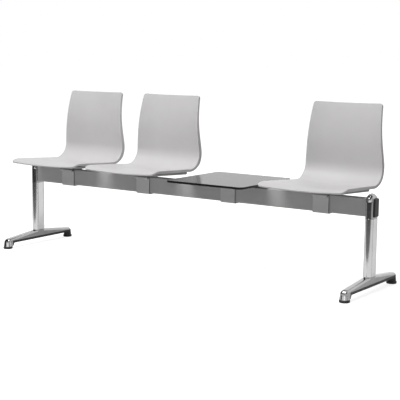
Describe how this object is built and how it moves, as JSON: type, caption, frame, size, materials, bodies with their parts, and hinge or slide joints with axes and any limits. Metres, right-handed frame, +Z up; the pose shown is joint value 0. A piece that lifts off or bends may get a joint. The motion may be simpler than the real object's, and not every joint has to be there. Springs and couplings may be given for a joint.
{
  "type": "beam seating",
  "caption": "Beam seating with one-piece plastic seats and a low table on a rectangular steel beam, carried by polished aluminium T-shaped legs with levelling glides.",
  "frame": {"origin": "on the floor, under the middle of the beam", "axes": "+X along the beam, with the table on the +X half, +Y towards the backs of the seats, +Z up"},
  "size_m": [2.002, 0.507, 0.8096],
  "materials": {
    "seat_plastic": "fine satin moulded polypropylene, light grey",
    "beam_paint": "satin powder coat, mid grey",
    "strap_paint": "satin powder coat, grey",
    "frame_paint": "satin powder coat, dark grey",
    "cast_metal": "as cast, painted grey",
    "polished_aluminium": "polished",
    "black_plastic": "satin",
    "table_laminate": "smooth high pressure laminate, near black",
    "zinc_steel": "zinc plated"
  },
  "bodies": {
    "bench": {"beam_tube": "beam_paint", "end_cap_left": "black_plastic", "end_cap_right": "black_plastic", "strap_left": "strap_paint", "strap_bolts_left": "zinc_steel", "carrier_left": "cast_metal", "strap_centre": "strap_paint", "strap_bolts_centre": "zinc_steel", "carrier_centre": "cast_metal", "strap_table": "strap_paint", "strap_bolts_table": "zinc_steel", "carrier_table": "cast_metal", "strap_right": "strap_paint", "strap_bolts_right": "zinc_steel", "carrier_right": "cast_metal", "seat_frame_left": "frame_paint", "frame_screws_left": "zinc_steel", "seat_shell_left": "seat_plastic", "shell_screws_left": "zinc_steel", "seat_frame_centre": "frame_paint", "frame_screws_centre": "zinc_steel", "seat_shell_centre": "seat_plastic", "shell_screws_centre": "zinc_steel", "seat_frame_right": "frame_paint", "frame_screws_right": "zinc_steel", "seat_shell_right": "seat_plastic", "shell_screws_right": "zinc_steel", "table_plate": "frame_paint", "table_screws": "zinc_steel", "table_top": "table_laminate", "saddle_left": "polished_aluminium", "set_screw_left": "zinc_steel", "column_left": "polished_aluminium", "tie_rod_left": "zinc_steel", "foot_left": "polished_aluminium", "undertray_left": "black_plastic", "saddle_right": "polished_aluminium", "set_screw_right": "zinc_steel", "column_right": "polished_aluminium", "tie_rod_right": "zinc_steel", "foot_right": "polished_aluminium", "undertray_right": "black_plastic"},
    "glide_front_left": {"glide_front_left": "black_plastic"},
    "glide_rear_left": {"glide_rear_left": "black_plastic"},
    "glide_front_right": {"glide_front_right": "black_plastic"},
    "glide_rear_right": {"glide_rear_right": "black_plastic"}
  },
  "joints": [
    {"name": "glide_front_left_screw", "type": "slide", "parent": "bench", "child": "glide_front_left", "axis": [0, 0, -1], "range_m": [0, 0.01]},
    {"name": "glide_rear_left_screw", "type": "slide", "parent": "bench", "child": "glide_rear_left", "axis": [0, 0, -1], "range_m": [0, 0.01]},
    {"name": "glide_front_right_screw", "type": "slide", "parent": "bench", "child": "glide_front_right", "axis": [0, 0, -1], "range_m": [0, 0.01]},
    {"name": "glide_rear_right_screw", "type": "slide", "parent": "bench", "child": "glide_rear_right", "axis": [0, 0, -1], "range_m": [0, 0.01]}
  ]
}
